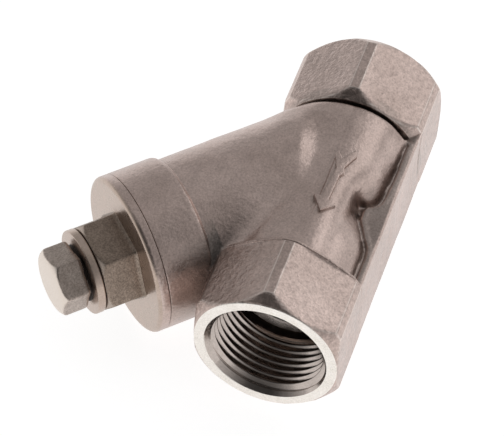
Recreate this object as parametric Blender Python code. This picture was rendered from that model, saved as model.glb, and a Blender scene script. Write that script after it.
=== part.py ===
"""Y strainer, threaded G 3/4: cast body, screwed cap, screen basket and drain plug.

Frame: the origin is where the axis of the pipe run crosses the axis of the
screen branch.  +X is the direction of flow along the run, the branch leaves
at 45 degrees towards +X -Y, and the reinforcing rib is on the +Y side.
The part lies on its side with +Z up.  All sizes are in metres.
"""
import math

import bmesh
import bpy
from mathutils import Matrix, Vector

MM = 0.001
GAP = 0.3 * MM                 # clearance between neighbouring pieces
SEGMENTS = 48                  # sides of a full turn on the large round pieces
FINE_SEGMENTS = 36             # sides of a full turn on the small round pieces
PASSAGE_SEGMENTS = 42          # sides of a full turn on the flow passages

# Pipe run
INLET_X = -26.6 * MM           # outer face of the inlet end
OUTLET_X = 53.4 * MM           # outer face of the outlet end, 80 mm from the inlet
HEX_FLATS = 31.6 * MM          # across the flats of the end hexagons (nominal 32)
HEX_CORNER_R = 17.66 * MM      # radius of the trimmed corners
HEX_CHAMFER = 2.4 * MM         # axial length of the cone at the end of a hexagon
INLET_HEX_LENGTH = 19.05 * MM
OUTLET_HEX_LENGTH = 17.3 * MM
PORT_THREAD_R = 13.2 * MM      # major radius of the G 3/4 female threads
PORT_COUNTERSINK_R = 13.6 * MM
PORT_DEPTH = 15.0 * MM         # usable depth of a threaded port
PASSAGE_R = 10.5 * MM          # flow passage behind a port
WAIST_R = 8.0 * MM             # flow passage where it leaves the screen chamber
WAIST_X = 11.0 * MM
NECK_R = 13.0 * MM             # body between the inlet hexagon and the shoulder
SHOULDER_X = -4.3 * MM
BULGE_R = 15.5 * MM            # body around the partition
BELL_R = 16.2 * MM             # body behind the outlet hexagon
BEAD_R = 17.4 * MM             # round bead where body and outlet hexagon meet
BEAD_WIDTH = 1.1 * MM
RIB_HALF_WIDTH = 8.1 * MM      # rib that joins the two hexagons on the +Y side
RIB_SINK = 0.05 * MM           # the rib's face lies this far below the hexagons' flats

# Screen branch, distances along its axis from the origin
BRANCH_ANGLE = math.radians(45.0)
TUBE_R = 16.9 * MM
COLLAR_R = 17.8 * MM
COLLAR_START = 38.8 * MM
COLLAR_END = 49.7 * MM
CHAMBER_R = 13.0 * MM
PARTITION_HALF = 1.5 * MM      # half the thickness of the wall with the screen's seat
SEAT_HOLE_R = 9.3 * MM
SEAT_R = 11.7 * MM             # counterbore that centres the screen
SEAT_FLOOR = 0.2 * MM
THREAD_START = 40.5 * MM       # female thread for the cap
CAP_THREAD_R = 14.0 * MM       # major radius of the M28 x 1.5 cap thread
GASKET_GROOVE_R = 16.4 * MM
GASKET_GROOVE_DEPTH = 1.3 * MM

# Screen basket
SLEEVE_OUTER_R = 10.6 * MM
SLEEVE_INNER_R = 10.0 * MM
SCREEN_START = 0.5 * MM
SCREEN_END = 46.0 * MM
MESH_OUTER_R = 9.7 * MM
MESH_INNER_R = 9.45 * MM
RING_OUTER_R = 11.4 * MM
RING_WIDTH = 4.0 * MM

# Cap and drain plug
CAP_SPIGOT_START = 41.3 * MM
CAP_FLANGE_END = 52.3 * MM
CAP_FLANGE_ROUND = 1.1 * MM
CAP_HEX_FLATS = 18.7 * MM
CAP_HEX_END = 60.8 * MM
CAP_HEX_TURN = math.radians(20.5)      # direction that one flat faces, from local X
CAP_POCKET_END = 47.0 * MM     # bottom of the pocket that holds the screen
DRAIN_BORE_R = 6.6 * MM        # G 1/4 tapping for the plug
PLUG_SEAL_R = 8.6 * MM
PLUG_SEAL_DEPTH = 1.1 * MM
PLUG_SHANK_START = 51.1 * MM
PLUG_COLLAR_R = 9.5 * MM
PLUG_COLLAR_THICKNESS = 1.85 * MM
PLUG_GROOVE_R = 6.3 * MM
PLUG_GROOVE_WIDTH = 0.6 * MM
PLUG_HEX_FLATS = 13.3 * MM
PLUG_HEX_TURN = math.radians(43.0)
PLUG_END = 70.0 * MM
CORNER_TRIM = 0.992            # part of the full corner radius left on the small hexagons

UP = Vector((0.0, 0.0, 1.0))
RUN_AXIS = Vector((1.0, 0.0, 0.0))
BRANCH_AXIS = Vector((math.cos(BRANCH_ANGLE), -math.sin(BRANCH_ANGLE), 0.0))

MATERIALS = {
    "cast_steel": ((0.42, 0.38, 0.36), 0.42, 1.0),
    "machined_steel": ((0.40, 0.37, 0.34), 0.30, 1.0),
    "screen_steel": ((0.58, 0.57, 0.56), 0.35, 1.0),
    "ptfe": ((0.86, 0.86, 0.83), 0.55, 0.0),
}


# ---------------------------------------------------------------- helpers
def clear_scene():
    for old in list(bpy.data.objects):
        bpy.data.objects.remove(old, do_unlink=True)


def make_material(name):
    colour, roughness, metallic = MATERIALS[name]
    material = bpy.data.materials.get(name) or bpy.data.materials.new(name)
    material.use_nodes = True
    shader = material.node_tree.nodes["Principled BSDF"]
    shader.inputs["Base Color"].default_value = (*colour, 1.0)
    shader.inputs["Roughness"].default_value = roughness
    shader.inputs["Metallic"].default_value = metallic
    material.diffuse_color = (*colour, 1.0)
    return material


def axis_frame(direction):
    """Matrix that turns local +Z to the direction and keeps local +Y upright."""
    side = UP.cross(direction)
    return Matrix((side, UP, direction)).transposed().to_4x4()


def add_object(name, builder, direction, material="cast_steel"):
    mesh = bpy.data.meshes.new(name)
    bmesh.ops.recalc_face_normals(builder, faces=builder.faces)
    builder.to_mesh(mesh)
    builder.free()
    obj = bpy.data.objects.new(name, mesh)
    obj.matrix_world = axis_frame(direction)
    obj.data.materials.append(make_material(material))
    bpy.context.scene.collection.objects.link(obj)
    return obj


def turned(name, profile, direction, segments=SEGMENTS, material="cast_steel", hollow=False):
    """Solid of revolution about local Z through profile points (z, radius).

    A solid piece is capped at its first and last points; a hollow ring's
    profile is a closed loop.
    """
    builder = bmesh.new()
    rings = []
    for height, radius in profile:
        turns = [2.0 * math.pi * step / segments for step in range(segments)]
        rings.append([builder.verts.new((radius * math.cos(t), radius * math.sin(t), height)) for t in turns])
    pairs = list(zip(rings, rings[1:]))
    if hollow:
        pairs.append((rings[-1], rings[0]))
    else:
        builder.faces.new(rings[0])
        builder.faces.new(rings[-1])
    for lower, upper in pairs:
        for step in range(segments):
            following = (step + 1) % segments
            builder.faces.new((lower[step], lower[following], upper[following], upper[step]))
    return add_object(name, builder, direction, material)


def prism(name, outline, start, end, direction, material="cast_steel"):
    """Straight prism with an outline in local X and Y, from start to end along local Z."""
    builder = bmesh.new()
    low = [builder.verts.new((x, y, start)) for x, y in outline]
    high = [builder.verts.new((x, y, end)) for x, y in outline]
    builder.faces.new(low)
    builder.faces.new(high)
    for index, corner in enumerate(low):
        following = (index + 1) % len(low)
        builder.faces.new((corner, low[following], high[following], high[index]))
    return add_object(name, builder, direction, material)


def box(name, low, high):
    """Box between two corners in the world frame."""
    outline = [(low[1], low[2]), (high[1], low[2]), (high[1], high[2]), (low[1], high[2])]
    return prism(name, outline, low[0], high[0], RUN_AXIS)


def hex_outline(flats, corner_r, turn=0.0):
    """Hexagon with trimmed corners: one flat faces the angle given by turn."""
    half_flat = math.acos(flats / 2.0 / corner_r)
    outline = []
    for side in range(6):
        middle = turn + side * math.pi / 3.0
        for angle in (middle - half_flat, middle + half_flat):
            outline.append((corner_r * math.cos(angle), corner_r * math.sin(angle)))
    return outline


def combine(target, tool, operation):
    """Boolean modifier with its cutter hidden."""
    modifier = target.modifiers.new(tool.name, "BOOLEAN")
    modifier.operation = operation
    modifier.solver = "EXACT"
    modifier.object = tool
    tool.hide_render = True
    tool.display_type = "WIRE"


def arc(centre_z, centre_r, radius, start, end, steps):
    """Points (z, radius) on a circle in the profile plane, angles in degrees."""
    points = []
    for step in range(steps + 1):
        angle = math.radians(start + (end - start) * step / steps)
        points.append((centre_z + radius * math.cos(angle), centre_r + radius * math.sin(angle)))
    return points


def shade_round(obj, angle=35.0):
    obj.data.shade_smooth()
    obj.data.set_sharp_from_angle(angle=math.radians(angle))


# ---------------------------------------------------------------- body
def end_hexagon(name, start, end, chamfer_start, chamfer_end):
    """Hexagon of the run, its ends coned where a chamfer length is given."""
    hexagon = prism(name, hex_outline(HEX_FLATS, HEX_CORNER_R), start - 1.0 * MM, end + 1.0 * MM, RUN_AXIS)
    clear = HEX_CORNER_R + 1.0 * MM
    ring_r = HEX_FLATS / 2.0
    cone = (clear - ring_r) * HEX_CHAMFER / (HEX_CORNER_R - ring_r)
    profile = [(start, ring_r), (start + cone, clear)] if chamfer_start else [(start, clear)]
    profile += [(end - cone, clear), (end, ring_r)] if chamfer_end else [(end, clear)]
    combine(hexagon, turned(name + "_cones", profile, RUN_AXIS), "INTERSECT")
    return hexagon


def run_core():
    """Outside of the run between the hexagons: neck, shoulder, bulge, bell and bead."""
    bead_start = OUTLET_X - OUTLET_HEX_LENGTH - BEAD_WIDTH
    inside_inlet = INLET_X + INLET_HEX_LENGTH - 3.0 * MM
    profile = [(inside_inlet, NECK_R), (SHOULDER_X - 0.6 * MM, NECK_R)]
    profile += [(SHOULDER_X, NECK_R + 0.6 * MM), (SHOULDER_X, BULGE_R - 1.0 * MM)]
    profile += [(SHOULDER_X + 0.9 * MM, BULGE_R)]
    profile += [(bead_start - 5.5 * MM, BELL_R), (bead_start - 0.4 * MM, BELL_R)]
    profile += [(bead_start, BELL_R + 0.4 * MM), (bead_start + 0.3 * MM, BEAD_R)]
    profile += [(bead_start + BEAD_WIDTH, BEAD_R), (bead_start + BEAD_WIDTH + 0.4 * MM, BEAD_R - 0.6 * MM)]
    return turned("run_core", profile, RUN_AXIS)


def branch_tube():
    """Outside of the branch: rounded root, tube and collar."""
    profile = [(-12.0 * MM, 5.0 * MM), (-8.0 * MM, 11.3 * MM)]
    profile += [(-4.0 * MM, 14.2 * MM), (0.0, 15.4 * MM), (6.0 * MM, 16.4 * MM), (12.0 * MM, TUBE_R)]
    profile += [(COLLAR_START - 0.5 * MM, TUBE_R), (COLLAR_START + 0.6 * MM, COLLAR_R)]
    profile += [(COLLAR_END - 0.3 * MM, COLLAR_R), (COLLAR_END, COLLAR_R - 0.3 * MM)]
    return turned("branch_tube", profile, BRANCH_AXIS)


def scoop(name, side):
    """Hollow above or below the rib, between the bulge and the bell."""
    outline = [(8.7, 11.6), (11.2, 10.6), (13.0, 9.6), (14.2, 7.6), (15.6, 7.2), (17.3, 8.4)]
    outline += [(22.3, 11.2), (27.4, 13.4), (27.4, 18.0), (8.7, 18.0)]
    builder = bmesh.new()
    floor = side * (RIB_HALF_WIDTH - 2.0 * MM)
    ceiling = side * (BELL_R + 3.0 * MM)
    low = [builder.verts.new((y * MM, floor, x * MM)) for x, y in outline]
    high = [builder.verts.new((y * MM, ceiling, x * MM)) for x, y in outline]
    builder.faces.new(low)
    builder.faces.new(high)
    for index, corner in enumerate(low):
        following = (index + 1) % len(low)
        builder.faces.new((corner, low[following], high[following], high[index]))
    return add_object(name, builder, RUN_AXIS)


def flow_passage(name, low_x, high_x, radius_low, radius_high, keep_inlet_side):
    """Flow passage about the run axis that ends at the partition's face."""
    passage = turned(name, [(low_x, radius_low), (high_x, radius_high)], RUN_AXIS, PASSAGE_SEGMENTS)
    reach = 60.0 * MM
    outline = [(-reach, -reach), (reach, -reach), (reach, reach), (-reach, reach)]
    if keep_inlet_side:
        span = (-reach, -PARTITION_HALF)
    else:
        span = (PARTITION_HALF, reach)
    combine(passage, prism(name + "_limit", outline, span[0], span[1], BRANCH_AXIS), "INTERSECT")
    return passage


def port(name, face_x, inward):
    """Threaded port as a plain bore of the thread's major radius, with a countersink."""
    depth = face_x + inward * PORT_DEPTH
    outside = face_x - inward * 2.0 * MM
    lip = face_x + inward * (PORT_COUNTERSINK_R - PORT_THREAD_R)
    profile = [(outside, PORT_COUNTERSINK_R), (face_x, PORT_COUNTERSINK_R)]
    profile += [(lip, PORT_THREAD_R), (depth, PORT_THREAD_R), (depth + inward * 3.0 * MM, PASSAGE_R - 1.0 * MM)]
    return turned(name, profile, RUN_AXIS)


def branch_bore():
    """Screen chamber, cap thread and gasket groove in one turned cutter."""
    groove = COLLAR_END - GASKET_GROOVE_DEPTH
    outside = COLLAR_END + 3.0 * MM
    profile = [(-PARTITION_HALF - 1.0 * MM, SEAT_HOLE_R)]
    profile += [(SEAT_FLOOR, SEAT_HOLE_R), (SEAT_FLOOR, SEAT_R), (PARTITION_HALF, SEAT_R)]
    profile += [(PARTITION_HALF, CHAMBER_R), (THREAD_START, CHAMBER_R), (THREAD_START, CAP_THREAD_R)]
    profile += [(groove, CAP_THREAD_R), (groove, GASKET_GROOVE_R), (outside, GASKET_GROOVE_R)]
    return turned("branch_bore", profile, BRANCH_AXIS)


def strainer_body():
    outlet_hex_start = OUTLET_X - OUTLET_HEX_LENGTH - 0.5 * MM
    inlet_hex_end = INLET_X + INLET_HEX_LENGTH
    body = run_core()
    body.name = "strainer_body"
    combine(body, scoop("scoop_top", 1.0), "DIFFERENCE")
    combine(body, scoop("scoop_bottom", -1.0), "DIFFERENCE")
    combine(body, end_hexagon("inlet_hex", INLET_X, inlet_hex_end, True, True), "UNION")
    combine(body, end_hexagon("outlet_hex", outlet_hex_start, OUTLET_X, False, True), "UNION")
    rib_low = (inlet_hex_end - 4.0 * MM, 4.0 * MM, -RIB_HALF_WIDTH)
    rib_high = (outlet_hex_start + 2.0 * MM, HEX_FLATS / 2.0 - RIB_SINK, RIB_HALF_WIDTH)
    combine(body, box("rib", rib_low, rib_high), "UNION")
    trim_low = (outlet_hex_start - 3.0 * MM, HEX_FLATS / 2.0 + RIB_SINK, -BEAD_R)
    trim_high = (outlet_hex_start + 3.0 * MM, BEAD_R + 1.0 * MM, BEAD_R)
    combine(body, box("bead_trim", trim_low, trim_high), "DIFFERENCE")
    combine(body, branch_tube(), "UNION")
    combine(body, branch_bore(), "DIFFERENCE")
    combine(body, port("inlet_port", INLET_X, 1.0), "DIFFERENCE")
    combine(body, port("outlet_port", OUTLET_X, -1.0), "DIFFERENCE")
    inlet_start = INLET_X + PORT_DEPTH - 0.5 * MM
    inlet_end = 12.0 * MM
    combine(body, flow_passage("inlet_passage", inlet_start, inlet_end, PASSAGE_R, PASSAGE_R, True),
            "DIFFERENCE")
    outlet_end = OUTLET_X - PORT_DEPTH + 0.5 * MM
    combine(body, flow_passage("outlet_passage", WAIST_X, outlet_end, WAIST_R, PASSAGE_R, False),
            "DIFFERENCE")
    return body


# ---------------------------------------------------------------- screen basket
def ring(name, start, end, inner_r, outer_r, material, segments=SEGMENTS):
    profile = [(start, inner_r), (start, outer_r), (end, outer_r), (end, inner_r)]
    obj = turned(name, profile, BRANCH_AXIS, segments, material, hollow=True)
    shade_round(obj)
    return obj


def screen_basket():
    ring("screen_sleeve", SCREEN_START, SCREEN_END, SLEEVE_INNER_R, SLEEVE_OUTER_R, "screen_steel")
    ring("screen_mesh", SCREEN_START + GAP, SCREEN_END - GAP, MESH_INNER_R, MESH_OUTER_R, "screen_steel")
    ring_inner_r = SLEEVE_OUTER_R + GAP
    ring("screen_seat_ring", SCREEN_START, SCREEN_START + RING_WIDTH, ring_inner_r, RING_OUTER_R,
         "machined_steel")
    ring("screen_end_ring", SCREEN_END - RING_WIDTH, SCREEN_END, ring_inner_r, RING_OUTER_R,
         "machined_steel")


# ---------------------------------------------------------------- cap and plug
def cap():
    """Screwed cap: spigot, flange and hexagon, with the screen pocket and the drain bore."""
    flange_start = COLLAR_END + GAP
    spigot_r = CAP_THREAD_R - GAP
    body = turned("screen_cap", cap_outside(flange_start, spigot_r), BRANCH_AXIS, SEGMENTS, "cast_steel")
    corner_r = CAP_HEX_FLATS / math.sqrt(3.0)
    hexagon = prism("cap_hex", hex_outline(CAP_HEX_FLATS, corner_r * CORNER_TRIM, CAP_HEX_TURN),
                    CAP_FLANGE_END - 0.8 * MM, CAP_HEX_END + 1.0 * MM, BRANCH_AXIS)
    cone_r = corner_r + 0.5 * MM
    cone = [(CAP_FLANGE_END - 1.5 * MM, cone_r), (CAP_HEX_END - 1.1 * MM, cone_r)]
    cone += [(CAP_HEX_END, CAP_HEX_FLATS / 2.0)]
    combine(hexagon, turned("cap_hex_cone", cone, BRANCH_AXIS), "INTERSECT")
    combine(body, hexagon, "UNION")
    combine(body, turned("cap_bore", cap_inside(), BRANCH_AXIS, SEGMENTS), "DIFFERENCE")
    shade_round(body)
    return body


def cap_outside(flange_start, spigot_r):
    profile = [(CAP_SPIGOT_START, spigot_r - 0.6 * MM)]
    profile += [(CAP_SPIGOT_START + 0.6 * MM, spigot_r), (flange_start, spigot_r)]
    profile += [(flange_start, COLLAR_R - 0.2 * MM), (flange_start + 0.2 * MM, COLLAR_R)]
    round_z = CAP_FLANGE_END - CAP_FLANGE_ROUND
    profile += arc(round_z, COLLAR_R - CAP_FLANGE_ROUND, CAP_FLANGE_ROUND, 90, 0, 4)
    return profile


def cap_inside():
    seal_floor = CAP_HEX_END - PLUG_SEAL_DEPTH
    outside = CAP_HEX_END + 2.0 * MM
    profile = [(CAP_SPIGOT_START - 2.0 * MM, SEAT_R)]
    profile += [(CAP_POCKET_END, SEAT_R), (CAP_POCKET_END + 1.5 * MM, DRAIN_BORE_R)]
    profile += [(seal_floor, DRAIN_BORE_R), (seal_floor, PLUG_SEAL_R), (outside, PLUG_SEAL_R)]
    return profile


def cap_gasket():
    floor = COLLAR_END - GASKET_GROOVE_DEPTH
    return ring("cap_gasket", floor + GAP, COLLAR_END, CAP_THREAD_R + 0.1 * MM, GASKET_GROOVE_R - GAP, "ptfe")


def drain_plug():
    """Hexagon head plug with a collar, an undercut and a threaded shank."""
    collar_start = CAP_HEX_END + GAP
    collar_end = collar_start + PLUG_COLLAR_THICKNESS
    shank_r = DRAIN_BORE_R - GAP
    profile = [(PLUG_SHANK_START, shank_r - 0.8 * MM)]
    profile += [(PLUG_SHANK_START + 0.8 * MM, shank_r), (collar_start, shank_r)]
    profile += [(collar_start, PLUG_COLLAR_R), (collar_end - 0.4 * MM, PLUG_COLLAR_R)]
    profile += [(collar_end, PLUG_COLLAR_R - 0.4 * MM), (collar_end, PLUG_GROOVE_R)]
    profile += [(collar_end + PLUG_GROOVE_WIDTH + 0.4 * MM, PLUG_GROOVE_R)]
    plug = turned("drain_plug", profile, BRANCH_AXIS, FINE_SEGMENTS, "machined_steel")
    hex_start = collar_end + PLUG_GROOVE_WIDTH
    corner_r = PLUG_HEX_FLATS / math.sqrt(3.0)
    head = prism("plug_hex", hex_outline(PLUG_HEX_FLATS, corner_r * CORNER_TRIM, PLUG_HEX_TURN),
                 hex_start - 1.0 * MM, PLUG_END + 1.0 * MM, BRANCH_AXIS)
    cone = [(hex_start, corner_r + 0.4 * MM), (PLUG_END - 1.3 * MM, corner_r + 0.4 * MM)]
    cone += [(PLUG_END, PLUG_HEX_FLATS / 2.0 - 0.4 * MM)]
    combine(head, turned("plug_hex_cone", cone, BRANCH_AXIS, FINE_SEGMENTS), "INTERSECT")
    combine(plug, head, "UNION")
    shade_round(plug)
    return plug


def plug_gasket():
    floor = CAP_HEX_END - PLUG_SEAL_DEPTH
    return ring("plug_gasket", floor + GAP, CAP_HEX_END, DRAIN_BORE_R, PLUG_SEAL_R - GAP, "ptfe",
                FINE_SEGMENTS)


def main():
    clear_scene()
    shade_round(strainer_body())
    screen_basket()
    cap()
    cap_gasket()
    drain_plug()
    plug_gasket()


main()
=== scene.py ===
"""Looks of the G 3/4 Y strainer: fine casting, threads, screen, materials, studio and camera.

Lengths are in millimetres inside the shape functions and in metres on the objects.
The run axis is X, the branch axis points along +X -Y at 45 degrees, and +Z is up.
"""

import math

import bmesh
import bpy
import numpy as np
from mathutils import Matrix, Vector


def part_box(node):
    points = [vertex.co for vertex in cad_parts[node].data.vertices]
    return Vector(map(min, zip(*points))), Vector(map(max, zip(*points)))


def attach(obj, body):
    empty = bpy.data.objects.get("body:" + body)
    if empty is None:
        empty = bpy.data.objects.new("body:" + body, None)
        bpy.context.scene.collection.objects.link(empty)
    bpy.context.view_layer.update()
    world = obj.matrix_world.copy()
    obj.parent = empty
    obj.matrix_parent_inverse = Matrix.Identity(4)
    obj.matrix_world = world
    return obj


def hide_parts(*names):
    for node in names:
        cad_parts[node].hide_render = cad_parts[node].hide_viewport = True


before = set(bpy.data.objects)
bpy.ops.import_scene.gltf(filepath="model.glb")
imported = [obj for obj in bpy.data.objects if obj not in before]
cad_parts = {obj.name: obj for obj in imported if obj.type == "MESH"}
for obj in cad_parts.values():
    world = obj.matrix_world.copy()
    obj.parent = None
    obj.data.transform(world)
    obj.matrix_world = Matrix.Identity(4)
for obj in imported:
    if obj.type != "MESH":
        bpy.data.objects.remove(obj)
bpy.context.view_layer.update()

MM = 0.001
ROOT_HALF = math.sqrt(0.5)
UP = Vector((0.0, 0.0, 1.0))
RUN_AXIS = Vector((1.0, 0.0, 0.0))
BRANCH_AXIS = Vector((ROOT_HALF, -ROOT_HALF, 0.0))


def station(node, axis, end):
    """Lowest (end 0) or highest (end 1) place of a CAD node along an axis, in millimetres."""
    places = [vertex.co.dot(axis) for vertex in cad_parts[node].data.vertices]
    return (max(places) if end else min(places)) / MM


def from_branch(place):
    """Place of a point along the branch axis, and its distance from it."""
    along = place.dot(BRANCH_AXIS)
    return along, (place - BRANCH_AXIS * along).length


def radii(node):
    """Least and greatest distance of a CAD node's points from the branch axis, in millimetres."""
    away = [from_branch(vertex.co)[1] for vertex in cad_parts[node].data.vertices]
    return min(away) / MM, max(away) / MM


# Sizes read from the frame
INLET_X = station("strainer_body", RUN_AXIS, 0)
OUTLET_X = station("strainer_body", RUN_AXIS, 1)
COLLAR_END = station("strainer_body", BRANCH_AXIS, 1)
COLLAR_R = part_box("strainer_body")[1].z / MM
SPIGOT_START = station("screen_cap", BRANCH_AXIS, 0)
CAP_END = station("screen_cap", BRANCH_AXIS, 1)
SCREEN_START = station("screen_sleeve", BRANCH_AXIS, 0)
SCREEN_END = station("screen_sleeve", BRANCH_AXIS, 1)
SCREEN_R = radii("screen_sleeve")[1]
LINER_R = sum(radii("screen_mesh")) / 2.0
PLUG_START = station("drain_plug", BRANCH_AXIS, 0)
PLUG_END = station("drain_plug", BRANCH_AXIS, 1)
PLUG_COLLAR_R = radii("drain_plug")[1]

# Run, millimetres
HALF_FLATS = 15.8
PRISM_HALF = HALF_FLATS - 0.02       # the flats lie just inside the CAD's
HEX_CORNER_R = 17.66
HEX_CHAMFER = 2.4
CHAMFER_SLOPE = (HEX_CORNER_R - HALF_FLATS) / HEX_CHAMFER
INLET_HEX_END = INLET_X + 19.05
OUTLET_HEX_START = OUTLET_X - 17.3
HEX_OVERLAP = 1.5                    # how far the cast shapes reach into the outlet hexagon
NECK_R = 13.0
NECK_END_X = 8.0
SHOULDER_X = -6.6
SHOULDER_RIM = 0.3
LIP_R = 15.75
LIP_SLOPE = 0.9
LIP_LEAN = 0.74                      # cosine of the lip's slope
BULGE_R = 14.9
BULGE_TAPER = 0.09
BULGE_CENTRE_X = 6.0
BULGE_LENGTH = 7.7
BULGE_POWER = 7                      # how square the bulge is at its two ends
BELL_R = 15.2
BELL_START_X = 16.5
BELL_START_R = 11.6
BELL_SLOPE = 0.396
BELL_LEAN = 1.0 / math.sqrt(1.0 + BELL_SLOPE ** 2)
RIDGE_R = ([0.0, 10.0, 30.0], [15.5, 15.5, 15.9])
RIDGE_SIDE_Y = ([6.0, 14.0], [12.0, 7.8])
RIDGE_STEP_Y = 1.6
VALLEY_Y = -8.2
VALLEY_WIDTH = 6.6
VALLEY_DEPTH = 2.6
CHANNEL_X = [-7.6, -5.5, 4.0, 11.0, 14.0, 18.0, 23.0, 25.5, 36.0]
CHANNEL_WIDTH = (CHANNEL_X, [-1.2, 0.5, 1.5, 1.7, 2.0, 0.55, 0.45, 0.9, 0.95])
CHANNEL_DEPTH = ([-6.0, 4.0, 12.0, 24.0], [1.0, 1.5, 1.8, 0.9])
CHANNEL_LIP = 0.3
WEB_WIDTH = ([-13.0, -6.0, 0.0, 6.0], [6.5, 3.0, 2.0, 0.5])
BEAD_R = 17.4
FLARE = 0.75                         # length of the flare behind the outlet hexagon's rim
RIM_SHARE = 0.4                      # how far the rim stands out of the hexagon towards the bead
RIB_HALF = 8.1
RIB_FACE = HALF_FLATS - 0.05
PORT_DEPTH = 15.0
PASSAGE_R = 10.5
WAIST_R = 8.0
WAIST_X = 11.0
INLET_PASSAGE_END = 12.0
FAR = 60.0                           # beyond the whole part

# Branch, millimetres along its axis
TUBE_R = 16.9
ROOT_CENTRE = 12.0
ROOT_LENGTH = 24.6
ROOT_POWER = 2.5
COLLAR_START = 38.8
TUBE_OVERLAP = 2.0                   # how far the tube reaches into the collar
CHAMBER_R = 13.0
PARTITION_HALF = 1.5
SEAT_HOLE_R = 9.3
SEAT_R = 11.7
SEAT_FLOOR = 0.2
CAP_THREAD_START = 40.5
GASKET_GROOVE_R = 16.4
GASKET_GROOVE = 1.3
CAP_FLANGE_START = COLLAR_END + 0.08
CAP_FLANGE_END = 52.3
CAP_HEX_FLATS = 18.7
CAP_HEX_TURN = math.radians(20.5)
CAP_HEX_SINK = 0.8                   # how far the hexagon reaches into the flange
CAP_HEX_FLARE = 0.55
CAP_POCKET_END = 47.0
PLUG_COLLAR_START = CAP_END + 0.12
PLUG_COLLAR_END = PLUG_COLLAR_START + 1.85
PLUG_HEX_FLATS = 13.3
PLUG_HEX_TURN = math.radians(43.0)
PLUG_HEX_SINK = 0.05
PLUG_HEX_FLARE = -0.45               # the head narrows towards its undercut
DRAIN_BORE_R = 6.6
PLUG_SEAL_R = 8.6
PLUG_SEAL_DEPTH = 1.1
PLUG_GROOVE_R = 6.3
PLUG_GROOVE = 0.6
CORNER_TRIM = 0.992
DOME_BLEND = 0.3
CAP_ROUND = 1.1

# Turned ends of the two bar hexagons: depth below the end, radius beyond the hexagon's corners
CAP_TOP = [(2.2, 0.4), (1.5, 0.12), (1.1, -0.12), (0.8, -0.45)]
CAP_TOP += [(0.5, -0.82), (0.25, -1.15), (0.1, -1.42), (0.0, -1.75)]
PLUG_TOP = [(2.0, 0.4), (1.75, 0.24), (1.5, 0.07), (1.3, -0.09), (1.1, -0.27), (0.92, -0.45)]
PLUG_TOP += [(0.75, -0.65), (0.6, -0.85), (0.45, -1.1), (0.34, -1.33), (0.25, -1.6)]
PLUG_TOP += [(0.18, -1.9), (0.12, -2.3), (0.04, -3.6), (0.0, -5.6)]

# Cast skin, and the painted shade in its crevices, beside the collar and on the rib's tops
CREVICE_SHADE_REACH = [(0.9, 0.5), (2.2, 0.5)]      # distance looked over, share of the darkening
COLLAR_GAP_SHADE = 2.0
COLLAR_GAP_SHADE_REACH = 7.5
RIB_TOP_SHADE = 0.7
HEX_R_MEAN = 16.6
CAST_WAVE = 0.035
CAST_CELL = 0.44
ARROW_CELL = 0.19
EDGE_WIDTH = 0.22
ARROW_HEIGHT = 0.9
ARROW_CUT_Z = 10.5                   # the arrow's blank starts at this height
ARROW_NEAR_Z = 9.0                   # and nothing under this height is near it
ARROW_OUTLINE = [(25.3, 3.1), (21.2, 0.3), (21.5, 2.3), (12.6, 2.9), (9.1, 1.5), (7.6, 1.9), (9.6, 3.4)]
ARROW_OUTLINE += [(5.7, 5.4), (7.4, 5.9), (11.6, 4.4), (13.4, 4.8), (14.2, 4.1), (21.8, 4.0), (22.4, 5.7)]

# Screen
SLEEVE_WALL = 0.6
SLEEVE_MARGIN = 2.2
HOLES_AROUND = 30
HOLE_R = 0.72
WIRES_AROUND = 52
WIRES_ALONG = 40
WIRE_R = 0.075
WIRE_SIDES = 5
WIRE_MARGIN = 0.4

# Finish colours, with the painted edge highlight and the painted crevice shade
CAST_DARK = (0.49, 0.385, 0.345)
CAST_LIGHT = (0.62, 0.495, 0.45)
# colour of the painted highlight on the end hexagons' edges
EDGE_HIGHLIGHT = (0.90, 0.80, 0.74)
# painted shade multiplied into the casting's colour where the crevice values are high
CREVICE_PAINTED_SHADE = [(0.12, 1.0), (0.55, (0.80, 0.82, 0.82)), (1.0, (0.54, 0.58, 0.59))]

# Studio, metres
FLOOR_HALF = 3.0
FLOOR_GAP = 0.0002
FLOOR_GLOW = 0.88
WORLD_STRENGTH = 1.0
WORLD_STOPS = [(0.0, 0.80), (0.12, 0.64), (0.30, 0.50), (0.60, 0.43), (1.0, 0.50)]
DARK_SIDE = (0.74, -0.10, 0.665)
DARK_SIDE_STOPS = [(0.55, 1.0), (0.80, 0.45), (0.93, 0.12)]
SIDE_LIGHT_PLACE = (-0.553, 0.480, 0.49)
SIDE_LIGHT_TARGET = (0.01, -0.01, 0.0)
SIDE_LIGHT_SIZE = (0.60, 0.46)
SIDE_LIGHT_WATTS = 0.70
CAMERA_TARGET = (0.0129, -0.0159, -0.0064)
CAMERA_DISTANCE = 0.7177
CAMERA_AZIMUTH = 17.80
CAMERA_ELEVATION = 48.91
CAMERA_ROLL = 0.19
CAMERA_LENS = 233.57
CAMERA_SENSOR = 36.0                 # millimetres, as the lens
CAMERA_CLIP = (0.01, 20.0)

# Ports
RING_EDGE = 0.1
PORT_SINK_R = 13.5
PORT_SINK_SLOPE = 0.72

# Threads: pitch, major radius, minor radius; teeth as (share of the pitch, share of the height)
PORT_SIDES = 160
PORT_TOOTH = [(0.0, 0.0), (0.10, 0.0), (0.17, 0.10), (0.48, 0.90)]
PORT_TOOTH += [(0.55, 1.0), (0.60, 1.0), (0.67, 0.90), (0.96, 0.10)]
PORT_THREAD = (1.814, 13.2, 12.06)
CAP_THREAD = (1.5, 14.0, 13.15)
DRAIN_THREAD = (1.337, 6.58, 5.75)
THREAD_PLAY = 0.15
THREAD_FLAT = 0.14                   # share of the pitch in each crest and in each root
THREAD_EASE = 0.35                   # how much of a flank is an S curve rather than straight
SHARP_ANGLE = math.radians(24.0)
FACE_WEIGHT = 80

# Sides of round shapes
PASSAGE_SIDES = 96
SMALL_SIDES = 144
CHAMBER_SIDES = 180
COLLAR_SIDES = 192


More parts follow.
